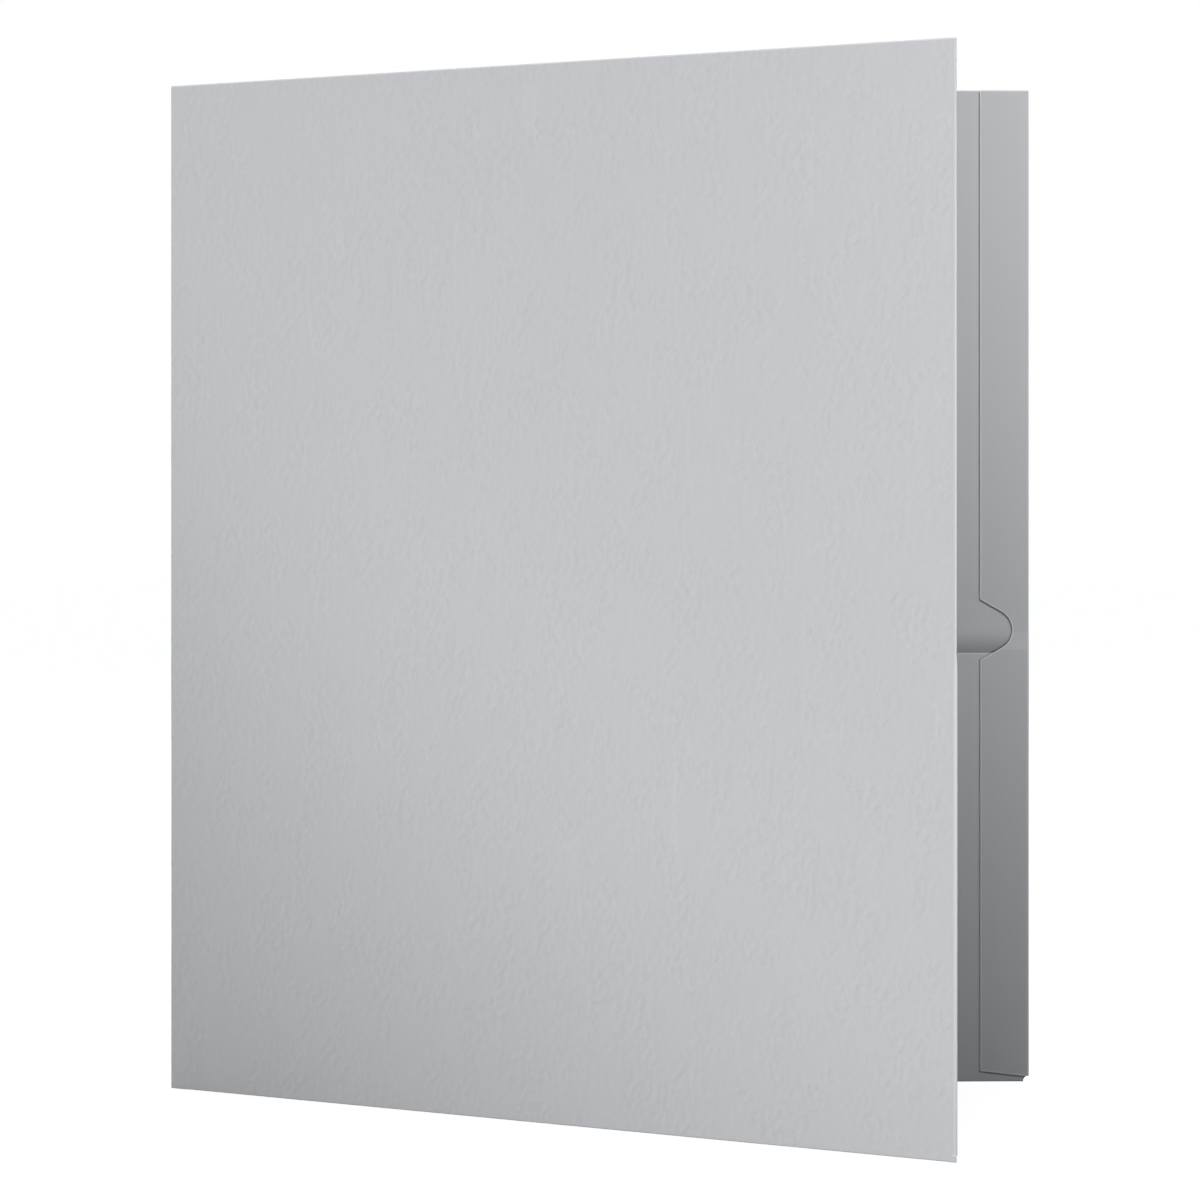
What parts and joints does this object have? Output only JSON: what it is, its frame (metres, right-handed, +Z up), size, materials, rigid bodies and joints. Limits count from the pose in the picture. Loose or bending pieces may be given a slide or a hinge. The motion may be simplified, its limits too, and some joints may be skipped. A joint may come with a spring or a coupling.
{
  "type": "two pocket folder",
  "caption": "Standing card folder: hinged covers joined by a creased spine, each with a sprung inner pocket and a glued edge flap with a thumb notch.",
  "frame": {"origin": "centre of the standing folder's footprint, on the surface that its bottom folds stand on", "axes": "+Z up along the spine; +X along the back cover from the spine to its free edge; +Y out of the back cover's outer face"},
  "size_m": [0.249, 0.134, 0.289],
  "materials": {
    "grained_card": "matte",
    "glue": "satin"
  },
  "bodies": {
    "back_leaf": {"back_cover": "grained_card", "back_bottom_fold": "grained_card", "back_pocket": "grained_card", "back_edge_fold": "grained_card", "back_flap": "grained_card", "back_pocket_glue": "glue", "back_cover_glue": "glue"},
    "spine": {"spine_panel": "grained_card", "rear_crease": "grained_card", "front_crease": "grained_card"},
    "front_leaf": {"front_cover": "grained_card", "front_bottom_fold": "grained_card", "front_pocket": "grained_card", "front_edge_fold": "grained_card", "front_flap": "grained_card", "front_pocket_glue": "glue", "front_cover_glue": "glue"}
  },
  "joints": [
    {"name": "rear_fold", "type": "hinge", "parent": "back_leaf", "child": "spine", "pos_m": [-0.12248, 0.06656, 0], "axis": [0, 0, -1], "range_deg": [-13.3, 74.5]},
    {"name": "front_fold", "type": "hinge", "parent": "spine", "child": "front_leaf", "pos_m": [-0.12417, 0.06044, 0], "axis": [0, 0, -1], "range_deg": [-13.3, 74.5]}
  ]
}
